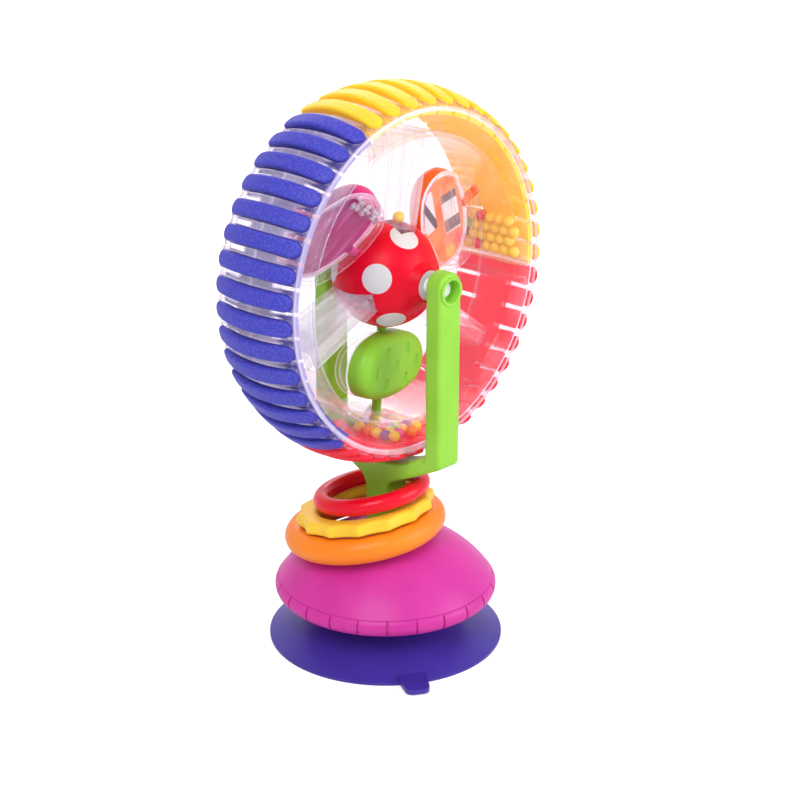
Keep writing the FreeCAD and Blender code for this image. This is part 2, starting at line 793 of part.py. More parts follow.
def make_skirt():
    """Lower casing: a grooved grip band and a floor with the cup's hole and screw pads."""
    low = skirt_bottom_height
    high = dome_seam_height - seam_gap
    floor = low + skirt_floor
    rim = dome_radius_at(dome_seam_height)
    wall = dome_wall
    band = revolved([
        (0, low),
        (skirt_bottom_radius, low),
        (skirt_waist_radius, skirt_waist_height, rim, high),
        (rim - wall, high),
        (skirt_waist_radius - wall, (floor + high) / 2, skirt_bottom_radius - wall, floor),
        (0, floor),
    ])
    pad_low = low + skirt_floor / 2
    pads = [post(base_boss_radius + 1, pad_low, boss_height_low, x, y) for x, y in base_screw_places()]
    skirt = band.fuse(pads)
    groove = polygon([
        at(skirt_bottom_radius - groove_depth, -groove_width / 2, low - 1),
        at(skirt_waist_radius + 1, -groove_width / 2, low - 1),
        at(skirt_waist_radius + 1, -groove_width / 2, high + 1),
        at(rim - groove_depth, -groove_width / 2, high + 1),
        at(skirt_waist_radius - groove_depth, -groove_width / 2, skirt_waist_height),
    ]).extrude(Y_AXIS * groove_width)
    cuts = [post(cup_groove_radius + cup_fit, low - 1, floor + 1)]
    for index in range(grip_grooves):
        copy = groove.copy()
        copy.rotate(ORIGIN, Z_AXIS, full_turn * index / grip_grooves)
        cuts.append(copy)
    for x, y in base_screw_places():
        cuts.append(post(base_screw_radius + screw_clearance, low - 1, boss_height_low + 1, x, y))
        cuts.append(post(screw_head_radius + screw_clearance, low - 1, base_screw_seat, x, y))
    return skirt.cut(cuts)


def make_screw(head_radius, head_height, shank_radius, seat, tip, x=0.0, y=0.0):
    """A screw that points up, with its head under the seat and a cross recess."""
    screw = post(head_radius, seat - head_height, seat, x, y).fuse(post(shank_radius, seat - 0.1, tip, x, y))
    recess = []
    low = seat - head_height
    for half_x, half_y in ((cross_half_length, cross_half_width), (cross_half_width, cross_half_length)):
        recess.append(box(x - half_x, x + half_x, y - half_y, y + half_y, low - 1, low + cross_depth))
    return screw.cut(recess).removeSplitter()


def make_base_screws():
    """Three screws as one group of separate solids."""
    screws = []
    for x, y in base_screw_places():
        screws.append(make_screw(screw_head_radius, screw_head_height, base_screw_radius,
                                 base_screw_seat, base_screw_tip, x, y))
    return Part.makeCompound(screws)


def make_cup():
    """Suction cup with its knob and release tab."""
    low = skirt_bottom_height
    floor = low + skirt_floor
    cup = revolved([
        (0, cup_cavity_depth),
        (*cup_cavity_middle, cup_radius - cup_lip_width, 0),
        (cup_radius, 0),
        (cup_radius, cup_lip_height),
        (*cup_flank_middle, cup_shoulder_radius, low - cup_shoulder_drop),
        (cup_shoulder_radius, low),
        (cup_groove_radius, low),
        (cup_groove_radius, floor),
        (cup_knob_radius, floor),
        (cup_knob_radius, floor + cup_knob_height - cup_knob_top_height),
        (cup_knob_top_radius, floor + cup_knob_height),
        (0, floor + cup_knob_height),
    ])
    tab = polygon([
        at(tab_root_reach, -tab_root_width / 2, tab_lift),
        at(tab_reach, -tab_tip_width / 2, tab_lift),
        at(tab_reach, tab_tip_width / 2, tab_lift),
        at(tab_root_reach, tab_root_width / 2, tab_lift),
    ]).extrude(Z_AXIS * tab_thickness)
    corners = []
    for edge in tab.Edges:
        ends = [vertex.Point for vertex in edge.Vertexes]
        if min(end.x for end in ends) > tab_reach - tolerance and abs(ends[0].z - ends[-1].z) > tolerance:
            corners.append(edge)
    tab = tab.makeFillet(tab_corner_round, corners)
    tab.rotate(ORIGIN, Z_AXIS, tab_angle)
    return cup.fuse(tab).removeSplitter()


def bead(angle, radius, y):
    """A round bead at an angle, a distance from the axle and a place along it."""
    ball = Part.makeSphere(bead_radius, at(radius, y))
    ball = turned(ball, angle)
    ball.translate(TO_AXLE)
    return ball


def bead_heap(floor_angle, layers, rows):
    """Beads in staggered layers that stand on a chamber wall."""
    pitch = 2 * bead_radius + bead_gap
    rise = pitch * math.sqrt(3) / 2
    base = chamber_floor + bead_radius + bead_gap
    lift = shell_wall / 2 + bead_radius + bead_gap
    beads = []
    for layer in range(layers):
        shift = pitch / 2 * (layer % 2)
        for row in range(rows - layer % 2):
            y = (row - (rows - 1) / 2) * pitch + shift
            height = lift + layer * rise
            angle = floor_angle + math.degrees(math.asin(height / base))
            beads.append(bead(angle, base, y))
    return beads


def bead_bed(middle_angle, columns, rows):
    """Beads that lie side by side on the tread at the bottom of a chamber."""
    pitch = 2 * bead_radius + bead_gap
    beads = []
    for column in range(columns):
        for row in range(rows):
            y = (row - (rows - 1) / 2) * pitch + pitch / 2 * (column % 2)
            if abs(y) + bead_radius > half_width - shell_wall - bead_gap:
                continue
            radius = arc_radius_at(y, tread_inner_arc - bead_radius - bead_gap)
            step = math.degrees(pitch / (radius - bead_radius))
            beads.append(bead(middle_angle + (column - (columns - 1) / 2) * step, radius, y))
    return beads


def sort_beads():
    """All the beads, shared out among the colours."""
    walls = partition_angles()
    yellow_floor = walls[2] + partition_spread / 2
    blue_floor = walls[1] - partition_spread / 2
    heap = bead_heap(yellow_floor, layers=4, rows=7)
    low_end = bead_bed(blue_floor - low_bed_offset, columns=3, rows=5)
    bottom = bead_bed(straight_down, columns=4, rows=6)
    colours = {"yellow": [], "orange": [], "red": [], "pink": [], "green": [], "purple": []}
    colours["yellow"].append(bead(spoke_angles()[0], spoke_bead_radius, -spoke_bead_depth))
    heap_mix = ["yellow"] * 4 + ["red", "yellow", "pink"] + ["yellow"] * 5
    heap_mix += ["purple"] + ["yellow"] * 5 + ["green"]
    low_mix = ["orange", "red", "pink", "green", "yellow", "red", "purple"]
    bottom_mix = ["yellow", "purple", "yellow", "orange", "yellow", "green", "pink", "yellow", "red"]
    for beads, mix in ((heap, heap_mix), (low_end, low_mix), (bottom, bottom_mix)):
        for index, ball in enumerate(beads):
            colours[mix[index % len(mix)]].append(ball)
    return colours


def main():
    """Build every node and write it."""
    os.makedirs("parts", exist_ok=True)
    nodes = {}
    rib = make_rib()
    for index, name in enumerate(("blue", "red", "yellow")):
        tread = make_tread(index, rib)
        tread.translate(TO_AXLE)
        nodes["tread_" + name] = tread
    front = make_front_shell()
    ball = make_front_ball()
    axle = rod(axle_radius, -axle_half_length, axle_half_length)
    axle = axle.makeChamfer(axle_chamfer, circle_edges(axle, axle_radius, -axle_half_length)
                            + circle_edges(axle, axle_radius, axle_half_length))
    for name, shape in (("wheel_shell_front", front), ("wheel_shell_rear", mirrored(front)),
                        ("hub_ball_front", ball), ("hub_ball_rear", mirrored(ball)), ("axle", axle)):
        shape.translate(TO_AXLE)
        nodes[name] = shape

    plain = coloured_half()
    clear = clear_half()
    card = make_card(card_thickness)
    nodes["green_capsule_shell"] = place_capsule(dimpled(plain), "green")
    nodes["green_capsule_lens"] = place_capsule(mirrored(clear), "green")
    nodes["orange_capsule_shell"] = place_capsule(mirrored(plain), "orange")
    nodes["orange_capsule_lens"] = place_capsule(ribbed(clear), "orange")
    nodes["orange_striped_card"] = place_capsule(card, "orange")
    nodes["pink_capsule_shell"] = place_capsule(mirrored(plain), "pink")
    nodes["pink_capsule_lens"] = place_capsule(clear, "pink")
    nodes["pink_foil_card"] = place_capsule(card, "pink")

    for name, beads in sort_beads().items():
        nodes["beads_" + name] = Part.makeCompound(beads)

    nodes["fork"] = make_fork()
    nodes["ring_orange"] = lean(round_ring(orange_ring_radius, orange_tube_radius),
                                orange_ring_centre, orange_ring_lean)
    nodes["ring_yellow"] = lean(lobed_ring(), yellow_ring_centre, yellow_ring_lean)
    nodes["ring_red"] = lean(round_ring(red_ring_radius, red_tube_radius), red_ring_centre, red_ring_lean)
    nodes["base_dome"] = make_dome()
    nodes["base_skirt"] = make_skirt()
    nodes["base_screws"] = make_base_screws()
    nodes["neck_washer"] = post(washer_radius, neck_washer_height, socket_floor_height).cut(
        post(neck_screw_radius + screw_clearance, 0, socket_floor_height + 1))
    nodes["neck_screw"] = make_screw(screw_head_radius, screw_head_height, neck_screw_radius,
                                     neck_washer_height, neck_washer_height + neck_screw_length)
    nodes["suction_cup"] = make_cup()
    for name, shape in nodes.items():
        shape.exportStep("parts/" + name + ".step")
        print(name, len(shape.Solids), round(shape.Volume, 1), shape.isValid())


main()
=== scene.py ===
# %% [markdown]
# # Suction cup spinner toy
# A clear rattle wheel with coloured rib treads turns in a green fork on a domed base with a suction cup.
# Every solid part comes from the CAD model, and Blender never moves or resizes one. This notebook gives
# each part its finish, makes a softer lobed ring and a heap of crystals, and sets up the picture.

import json
import math

import bpy
from mathutils import Euler, Matrix, Quaternion, Vector


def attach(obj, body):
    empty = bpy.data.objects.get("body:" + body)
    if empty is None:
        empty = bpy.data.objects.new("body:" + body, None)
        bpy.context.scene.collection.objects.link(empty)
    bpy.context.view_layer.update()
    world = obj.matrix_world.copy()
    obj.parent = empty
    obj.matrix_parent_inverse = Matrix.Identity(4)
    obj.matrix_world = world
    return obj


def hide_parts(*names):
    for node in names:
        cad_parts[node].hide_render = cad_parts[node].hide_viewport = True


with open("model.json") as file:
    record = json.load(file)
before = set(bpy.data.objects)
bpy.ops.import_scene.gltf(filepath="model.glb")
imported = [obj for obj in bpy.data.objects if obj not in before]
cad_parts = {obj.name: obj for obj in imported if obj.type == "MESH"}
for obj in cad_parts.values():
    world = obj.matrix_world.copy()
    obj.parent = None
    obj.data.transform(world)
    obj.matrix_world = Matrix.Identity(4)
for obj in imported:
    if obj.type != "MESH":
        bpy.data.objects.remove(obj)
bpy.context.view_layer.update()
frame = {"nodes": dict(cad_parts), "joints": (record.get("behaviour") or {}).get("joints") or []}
nodes = frame["nodes"]

# %% [markdown]
# ## Places that the frame already knows
# The joints say where things turn: the wheel's axle, each capsule's pins and each loose ring's leaning
# axis. Patterns are laid out from these places, so that nothing is measured twice.

# %% Read places from the joints
mm = 0.001
joints = {joint["name"]: joint for joint in frame["joints"]}


def joint_place(name):
    """Where a joint turns, and about which direction."""
    return Vector(joints[name]["pos_m"]), Vector(joints[name]["axis"]).normalized()


wheel_centre, axle_direction = joint_place("wheel_spin")
print("wheel centre at", round(wheel_centre.z / mm, 1), "mm above the floor")

# %% [markdown]
# ## Nodes written as sums
# Materials and geometry node trees are both graphs. One class adds a node in a single call, and a second
# class stands for a node's output and adds, subtracts or multiplies like a number. A pattern then reads
# as the formula that it is.


# %% The two graph classes
class Wire:
    """The output of a node, which takes part in sums."""

    def __init__(self, graph, node, output=0):
        self.graph = graph
        self.node = node
        self.socket = node.outputs[output] if node.outputs else None

    def other(self, name):
        """Another output of the same node."""
        return Wire(self.graph, self.node, name)

    def math(self, operation, *others):
        return self.graph.add("ShaderNodeMath", {"operation": operation}, [self, *others])

    def __add__(self, other):
        return self.math("ADD", other)

    def __sub__(self, other):
        return self.math("SUBTRACT", other)

    def __mul__(self, other):
        return self.math("MULTIPLY", other)

    def __truediv__(self, other):
        return self.math("DIVIDE", other)

    def __rsub__(self, other):
        return self.graph.add("ShaderNodeMath", {"operation": "SUBTRACT"}, [other, self])

    __radd__ = __add__
    __rmul__ = __mul__

    def ramp(self, low, high):
        """0 up to the low value, 1 from the high value, and smooth between."""
        return self.graph.add("ShaderNodeMapRange", {"interpolation_type": "SMOOTHSTEP"},
                              {"Value": self, "From Min": low, "From Max": high})


class Graph:
    """A node tree that is built by calls."""

    def __init__(self, tree):
        self.tree = tree
        tree.nodes.clear()

    def add(self, kind, settings=None, inputs=None, output=0):
        """Add a node: its settings first, then the values or links of its sockets."""
        node = self.tree.nodes.new(kind)
        for name, value in (settings or {}).items():
            setattr(node, name, value)
        pairs = inputs.items() if isinstance(inputs, dict) else enumerate(inputs or [])
        for key, value in pairs:
            self.feed(node.inputs[key], value)
        return Wire(self, node, output)

    def feed(self, socket, value):
        """Link a socket, or give it a plain value."""
        if isinstance(value, Wire):
            self.tree.links.new(value.socket, socket)
        else:
            socket.default_value = value

    def blend(self, factor, first, second):
        """Mix two colours."""
        return self.add("ShaderNodeMix", {"data_type": "RGBA"}, {0: factor, 6: first, 7: second}, 2)

    def vector(self, operation, *values, output=0):
        """A vector sum, or with output 1 a length, a distance or a dot product."""
        return self.add("ShaderNodeVectorMath", {"operation": operation}, list(values), output)

    def parts(self, vector):
        """The X, Y and Z of a vector."""
        split = self.add("ShaderNodeSeparateXYZ", {}, [vector])
        return split, split.other("Y"), split.other("Z")


# %% [markdown]
# ## Colours
# Colours are written as they look on a screen, and Blender wants them as amounts of light. One function
# turns the first into the second.


# %% Colour helper
def colour(red, green, blue):
    """A screen colour from 0 to 255, as linear light."""
    linear = []
    for value in (red, green, blue):
        share = value / 255
        linear.append(share / 12.92 if share <= 0.04045 else ((share + 0.055) / 1.055) ** 2.4)
    return (*linear, 1.0)


# %% [markdown]
# ## What every finish shares
# Each finish is one principled shader. Its pattern reads Object coordinates, which are metres in the
# frame, so a grain of 0.3 mm is the same size on every piece.


# %% The finish class
class Finish(Graph):
    """A material with one principled shader, and the patterns that feed it."""

    def __init__(self, name, **values):
        self.material = bpy.data.materials.new(name)
        self.material.use_nodes = True
        super().__init__(self.material.node_tree)
        self.place = self.add("ShaderNodeTexCoord", output="Object")
        self.shader = self.add("ShaderNodeBsdfPrincipled")
        self.add("ShaderNodeOutputMaterial", {}, {"Surface": self.shader})
        self.set(**values)

    def set(self, **values):
        """Set or link the shader's sockets; base_color stands for Base Color."""
        for name, value in values.items():
            socket = name.replace("_", " ").title().replace("Ior", "IOR")
            self.feed(self.shader.node.inputs[socket], value)

    def noise(self, size, detail=2.0, place=None):
        """Soft noise whose features are about one size across, in metres."""
        inputs = {"Vector": place or self.place, "Scale": 1 / size, "Detail": detail}
        return self.add("ShaderNodeTexNoise", {}, inputs)

    def bump(self, height, depth):
        """A normal that follows a height from 0 to 1, that many metres deep."""
        return self.add("ShaderNodeBump", {}, {"Height": height, "Distance": depth, "Strength": 1.0})


def wear(names, finish):
    """Give CAD pieces a finish."""
    for name in names:
        nodes[name].data.materials.clear()
        nodes[name].data.materials.append(finish.material)
    print(finish.material.name, "on", ", ".join(names))


# %% [markdown]
# ## Moulded plastic
# Most coloured parts are injection moulded plastic with a satin skin. Up close it is never one flat
# value: the colour drifts a little, the skin has a fine grain, and the gloss varies over a few
# millimetres. A painted picture could give all three, but it needs the surface unwrapped and turns soft
# when the camera comes near. Noise at the place of each point needs neither, so it is used here.


# %% Satin plastic finishes
def satin_plastic(name, shade, deep_shade, roughness, grain_size=0.35 * mm, grain_depth=0.012 * mm):
    """Moulded plastic whose colour drifts between two shades."""
    finish = Finish(name, specular_ior_level=0.25)
    drift = finish.noise(14 * mm, 3.0).ramp(0.35, 0.7)
    cloud = finish.noise(3 * mm, 4.0)
    finish.set(
        base_color=finish.blend(drift * 0.55, shade, deep_shade),
        roughness=cloud * 0.14 + (roughness - 0.07),
        normal=finish.bump(finish.noise(grain_size, 1.0), grain_depth),
    )
    return finish


fork_finish = satin_plastic("lime fork plastic", colour(148, 214, 66), colour(134, 200, 52), 0.34)
dome_finish = satin_plastic("magenta dome plastic", colour(204, 54, 154), colour(192, 42, 142), 0.36)
orange_ring_finish = satin_plastic("orange ring plastic", colour(246, 139, 33), colour(240, 126, 20), 0.34)
yellow_ring_finish = satin_plastic("yellow ring plastic", colour(247, 207, 58), colour(238, 192, 40), 0.4)
red_ring_finish = satin_plastic("red ring plastic", colour(232, 14, 42), colour(216, 8, 34), 0.22)
axle_finish = satin_plastic("white axle plastic", colour(238, 238, 234), colour(228, 228, 222), 0.4)
wear(["fork"], fork_finish)
wear(["base_dome", "base_skirt"], dome_finish)
wear(["ring_orange"], orange_ring_finish)
wear(["ring_yellow"], yellow_ring_finish)
wear(["ring_red"], red_ring_finish)
wear(["axle"], axle_finish)

# %% [markdown]
# ## Rib treads
# The ribs are a softer, grained material. The grain is coarse enough to break up the highlights. A rib has
# painted shade at its foot, where it passes through the clear skin and shade falls between rib and skin.
# The darker foot could be a piece of its own with a second material, but that gives a hard line. The skin
# is an arc about the wheel's centre, so a short formula tells how far outside it a point is, and the
# painted shade can fade. The thin band inside the wheel lets some light through, and its glow from behind
# is painted on as an emission in the rib's own colour.


# %% Rib finishes
skin_crown_radius = 56.0 * mm
skin_arc_radius = 50.0 * mm
# Painted glow: inside this radius the treads glow a little in their own colour, by emission.
painted_band_glow_radius = 53.0 * mm
painted_band_glow = 0.22
foot_shade_height = 1.5 * mm
thin_glow = 7.0 * mm


def rib_rubber(name, shade, deep_shade, fleck, glow, glow_reach, painted_shade_share):
    """Grained rib material with flecks, painted shade where it passes through the clear skin, and a painted
    glow on the band inside the wheel.
    """
    finish = Finish(name, specular_ior_level=0.3, subsurface_weight=glow, subsurface_scale=glow_reach)
    x, y, z = finish.parts(finish.vector("SUBTRACT", finish.place, tuple(wheel_centre)))
    reach = (x * x + z * z).math("SQRT")
    skin_arc = (skin_arc_radius * skin_arc_radius - y * y).math("SQRT")
    skin = skin_arc + (skin_crown_radius - skin_arc_radius)
    # Painted shade: the deeper shade fades out over the rib's foot, just outside the clear skin.
    foot = 1 - (reach - skin).ramp(0.2 * mm, foot_shade_height)
    grain = finish.noise(0.7 * mm, 5.0)
    base = finish.blend(grain.ramp(0.4, 0.66) * 0.6, shade, fleck)
    # Painted glow on the band inside the wheel, where light from behind comes through.
    inside = 1 - reach.ramp(painted_band_glow_radius, painted_band_glow_radius + 1 * mm)
    finish.set(
        emission_color=finish.blend(inside * painted_band_glow, (0, 0, 0, 1), shade),
        emission_strength=1.0,
        base_color=finish.blend(foot * painted_shade_share, base, deep_shade),
        roughness=grain * 0.25 + 0.34,
        normal=finish.bump(grain, 0.06 * mm),
    )
    return finish


# For each rib: its colour, the painted shade at its foot, its fleck colour, how much light it lets through
# and how far, and the share of painted shade.
rib_shades = {
    "blue": (colour(60, 62, 176), colour(36, 32, 132), colour(88, 92, 200), 0.15, 2.0 * mm, 0.85),
    "red": (colour(238, 36, 60), colour(224, 26, 56), colour(246, 66, 86), 0.8, thin_glow, 0.4),
    "yellow": (colour(250, 204, 34), colour(238, 176, 22), colour(253, 218, 76), 0.8, thin_glow, 0.4),
}
for name, shades in rib_shades.items():
    wear(["tread_" + name], rib_rubber(name + " ribs", *shades))

# %% [markdown]
# ## Clear plastic
# The wheel's shell and the windows of the capsules are clear polystyrene. Looked at squarely, a thin
# wall hardly shows and light goes straight through. Looked at along its surface, it bends and mirrors the
# room. At edges, lips and corners the wall is thick, and there it gathers the light of the whole room into
# white and lilac lines. A plain glass shader could be used, but light would have to find its way through
# a dozen walls, which comes out dark and grainy. So each point is a mix of bent light and straight
# light. The share of bent light grows from the middle of each surface to its edge, and the Bevel node,
# which rounds normals near an edge, tells where the edges are. There the colour takes an edge tint, partly
# the deeper tint of thick plastic and partly painted reflection: lilac grey on the shell, and the colour
# of the coloured half on each window. The ribbed skin, the two faces and the spokes have wall behind wall,
# so they look milky: there the share of bent light grows, the colour turns whiter, and a painted glow, an
# emission in lilac grey, stands in for the light that the stacked walls scatter. The windows get a faint
# patchy veil of the same kind. The line round the wheel's two faces and the seam of each window are
# painted highlights, an emission on top of more bent light. Lamp light passes almost freely, so the
# coloured parts inside stay bright.


# %% Clear finishes
milky_tint = colour(248, 242, 250)
# Painted glow: emission colours for the milky veil and for the bright lines.
painted_veil_glow = colour(156, 148, 162)
painted_line_glow = colour(128, 120, 132)
rim_line_radius = 52.4 * mm
rim_line_half_width = 1.0 * mm
rim_line_depth = 14.5 * mm


def painted_rim_highlight(finish):
    """Where the painted highlight runs: the bright line round the wheel's two faces, where the face turns
    into the skin.
    """
    x, y, z = finish.parts(finish.vector("SUBTRACT", finish.place, tuple(wheel_centre)))
    away = ((x * x + z * z).math("SQRT") - rim_line_radius).math("ABSOLUTE")
    near = 1 - away.ramp(rim_line_half_width * 0.6, rim_line_half_width)
    return near * y.math("ABSOLUTE").ramp(rim_line_depth - 1 * mm, rim_line_depth)


skin_zone_radius = 54.6 * mm
spoke_zone_radius = 44.0 * mm


def painted_veil_zones(finish, facing):
    """How strong the painted milky veil and its glow are on the wheel's clear plastic: its ribbed skin, its
    two faces, and the spokes.
    """
    x, y, z = finish.parts(finish.vector("SUBTRACT", finish.place, tuple(wheel_centre)))
    reach = (x * x + z * z).math("SQRT")
    skin = reach.ramp(skin_zone_radius, skin_zone_radius + 0.6 * mm)
    faces = y.math("ABSOLUTE").ramp(rim_line_depth - 1 * mm, rim_line_depth) * (1 - skin)
    spokes = 1 - reach.ramp(spoke_zone_radius, spoke_zone_radius + 1 * mm)
    streaks = finish.noise(9 * mm, 3.0).ramp(0.35, 0.65)
    return skin * (streaks * 0.2 + 0.56) + faces * (streaks * 0.14 + 0.04) + spokes * (facing * 0.5 + 0.1)


def painted_seam_highlight(joint, turn):
    """Where the painted highlight runs: the bright line where a capsule's two halves meet, after the
    capsule's own turn in degrees.
    """
    centre, pins = joint_place(joint)
    outward = axle_direction.copy()
    outward.rotate(Quaternion(pins, math.radians(turn)))

    def line(finish):
        offset = finish.vector("SUBTRACT", finish.place, tuple(centre))
        depth = finish.vector("DOT_PRODUCT", offset, tuple(outward), output=1)
        return 1 - depth.math("ABSOLUTE").ramp(0.5 * mm, 0.9 * mm)

    return line


def clear_plastic(name, tint, painted_edge_tint, face_share, edge_share, line=None, zones=None):
    """Clear moulded plastic, with the share of bent light when seen squarely and at its edges, a painted
    edge tint, and a painted glow on its milky parts and its bright line.
    """
    finish = Finish(name, transmission_weight=0.8, ior=1.25, roughness=0.04)
    finish.set(coat_weight=1.0, coat_roughness=0.03)
    facing = finish.add("ShaderNodeLayerWeight", {}, {"Blend": 0.5}, "Facing")
    rounded = finish.add("ShaderNodeBevel", {"samples": 2}, {"Radius": 0.9 * mm})
    plain = finish.add("ShaderNodeNewGeometry", output="Normal")
    corner = (1 - finish.vector("DOT_PRODUCT", rounded, plain, output=1)).ramp(0.03, 0.2)
    grazing = facing.math("POWER", 4.0)
    share = grazing * (edge_share - face_share) + face_share
    share = share.math("MAXIMUM", corner * edge_share)
    milky = zones(finish, facing) if zones else finish.noise(9 * mm, 3.0).ramp(0.4, 0.7) * 0.08
    share = share.math("MAXIMUM", milky)
    # Painted glow: the milky parts glow in lilac grey, by emission.
    glow = finish.blend(milky, (0, 0, 0, 1), painted_veil_glow)
    if line:
        # Painted highlight: the bright line glows by emission, on top of a larger share of bent light.
        bright = line(finish)
        share = share.math("MAXIMUM", bright * 0.9)
        glow = finish.blend(bright, glow, painted_line_glow)
    finish.set(emission_color=glow, emission_strength=1.0)
    path = finish.add("ShaderNodeLightPath", output="Is Shadow Ray")
    light = path.math("MAXIMUM", path.other("Is Diffuse Ray"))
    # Painted reflection at the corners: their colour turns to the edge tint, and the milky parts turn
    # whiter.
    finish.set(
        base_color=finish.blend(corner, finish.blend(milky * 3, tint, milky_tint), painted_edge_tint),
        alpha=share * (1 - light * 0.85),
        normal=finish.bump(finish.noise(6 * mm, 1.0), 0.03 * mm),
    )
    return finish


# %% Put on the clear finishes
clear_tint = colour(226, 216, 232)
# Edge tints: partly the deeper tint of thick plastic, partly painted reflection of the room and of each
# window's coloured half.
shell_painted_edge_tint = colour(196, 182, 204)
edge_share = 0.9
capsule_turns = {"green": -11.0, "orange": 10.5, "pink": -33.0}
window_edges = {
    "green": (colour(216, 226, 204), 0.06),
    "orange": (colour(252, 168, 128), 0.05),
    "pink": (colour(240, 140, 190), 0.05),
}
shell_finish = clear_plastic("clear wheel shell", clear_tint, shell_painted_edge_tint, 0.07, edge_share,
                             painted_rim_highlight, painted_veil_zones)
wear(["wheel_shell_front", "wheel_shell_rear"], shell_finish)
for name, (painted_edge_tint, face_share) in window_edges.items():
    window_finish = clear_plastic(name + " capsule window", clear_tint, painted_edge_tint, face_share, edge_share,
                                  painted_seam_highlight("spinner_" + name + "_spin", capsule_turns[name]))
    wear([name + "_capsule_lens"], window_finish)

# %% [markdown]
# ## Hub ball
# The red ball has printed white dots: one round each pole, and five about each half, spaced evenly. A
# picture wrapped round the ball would pinch them near the poles. A dot is everything within a small
# distance of its centre, so the mask is the nearest of a handful of distances, and every dot is round.

# %% Dotted hub
ball_radius = 16.5 * mm
dot_radius = 4.6 * mm
dot_colatitude = math.radians(56.0)
dots_per_half = 5
first_dot = math.radians(167.3)
pole_height = 18.1 * mm


def dot_centres():
    """Centres of the printed dots."""
    centres = [wheel_centre + Vector((0, side * pole_height, 0)) for side in (-1, 1)]
    circle = ball_radius * math.sin(dot_colatitude)
    for side in (-1, 1):
        depth = side * ball_radius * math.cos(dot_colatitude)
        for index in range(dots_per_half):
            turn = first_dot + math.tau * index / dots_per_half
            offset = Vector((circle * math.cos(turn), depth, circle * math.sin(turn)))
            centres.append(wheel_centre + offset)
    return centres


hub_finish = Finish("red hub with dots", specular_ior_level=0.15)
nearest = None
for centre in dot_centres():
    distance = hub_finish.vector("DISTANCE", hub_finish.place, tuple(centre), output=1)
    nearest = distance if nearest is None else nearest.math("MINIMUM", distance)
dot = 1 - nearest.ramp(dot_radius - 0.15 * mm, dot_radius + 0.05 * mm)
cloud = hub_finish.noise(9 * mm, 2.0).ramp(0.4, 0.7)
red = hub_finish.blend(cloud * 0.5, colour(228, 10, 40), colour(212, 6, 34))
white = hub_finish.blend(cloud * 0.6, colour(214, 212, 210), colour(202, 200, 199))
hub_finish.set(
    base_color=hub_finish.blend(dot, red, white),
    roughness=dot * 0.1 + 0.34,
    normal=hub_finish.bump(dot, 0.05 * mm),
)
wear(["hub_ball_front", "hub_ball_rear"], hub_finish)

# %% [markdown]
# ## Capsules
# Each capsule has a coloured half and a clear half. The orange and pink halves let some light through; the
# green one is solid in colour. Their walls are thin and even, so they need not bend the light: a little
# straight light through the colour looks the same and is quick.


# %% Coloured capsule halves
def tinted_plastic(name, shade, clearness, roughness=0.2):
    """Coloured plastic that lets some light straight through."""
    finish = Finish(name, base_color=shade, roughness=roughness, alpha=1 - clearness)
    finish.set(normal=finish.bump(finish.noise(4 * mm, 2.0), 0.02 * mm))
    return finish


wear(["orange_capsule_shell"], tinted_plastic("orange capsule", colour(252, 112, 40), 0.12))
wear(["pink_capsule_shell"], tinted_plastic("pink capsule", colour(232, 40, 146), 0.15))
green_capsule_finish = satin_plastic("green capsule", colour(142, 204, 58), colour(128, 190, 44), 0.34)
wear(["green_capsule_shell"], green_capsule_finish)

# %% [markdown]
# ## Cards in the capsules
# Behind the orange window stands a small patch of grey stripes that meet in an arrow shape at the clear
# rib. The rest of the card is painted salmon, the colour of the light that reaches it through the orange
# half behind it. The pink card is a creased magenta sheet that ends short of the capsule's end. Both could
# be printed from a picture. A few ramps are enough for stripes, soft spots and creases, and they keep sharp
# at any size. Both patterns are laid out in millimetres on the capsule: across it from the hub outwards,
# and along its length.


# %% Places on a card
def card_places(finish, joint):
    """Distance across a capsule, from the hub outwards, and along it, for a card's pattern."""
    centre, pins = joint_place(joint)
    offset = finish.vector("SUBTRACT", finish.place, tuple(centre))
    across = finish.vector("DOT_PRODUCT", offset, tuple(pins), output=1)
    along = finish.vector("DOT_PRODUCT", offset, tuple(pins.cross(axle_direction)), output=1)
    return across / mm, along / mm


def within(value, low, high, soft):
    """1 between two limits, with soft edges of that half width."""
    return value.ramp(low - soft, low + soft) * (1 - value.ramp(high - soft, high + soft))


def spot(across, along, place, size):
    """A soft round spot on a card, as a share from 0 to 1."""
    x = across - place[0]
    y = along - place[1]
    return 1 - (x * x + y * y).math("SQRT").ramp(size * 0.5, size)


# %% Striped card
stripe_finish = Finish("striped card", roughness=0.45, specular_ior_level=0.3)
across, along = card_places(stripe_finish, "spinner_orange_spin")
outer_slope = 0.2
inner_slope = 2.5
inner_start = 17.5
stripe_start = 5.5
stripe_pitch = 11.3
outer_side = across.ramp(-0.4, 0.0)
rising = along + across * outer_slope
falling = along + across * inner_slope + inner_start
phase = ((rising + stripe_start) / stripe_pitch).math("FRACT")
outer_stripe = phase.ramp(0.0, 0.03) * (1 - phase.ramp(0.4, 0.44))
inner_stripe = within(falling, 5.6, 11.5, 0.3)
outer_patch = outer_side * within(rising, -6.0, 9.0, 0.2) * (1 - across.ramp(6.8, 7.2))
inner_patch = (1 - across.ramp(-3.6, -3.2)) * within(along, -0.5, 13.7, 0.3)
patch = outer_patch.math("MAXIMUM", inner_patch)
stripe = outer_stripe * outer_side + inner_stripe * (1 - outer_side)
paper = stripe_finish.blend(stripe, colour(232, 226, 228), colour(104, 92, 102))
haze = stripe_finish.noise(5 * mm, 2.0).ramp(0.35, 0.65)
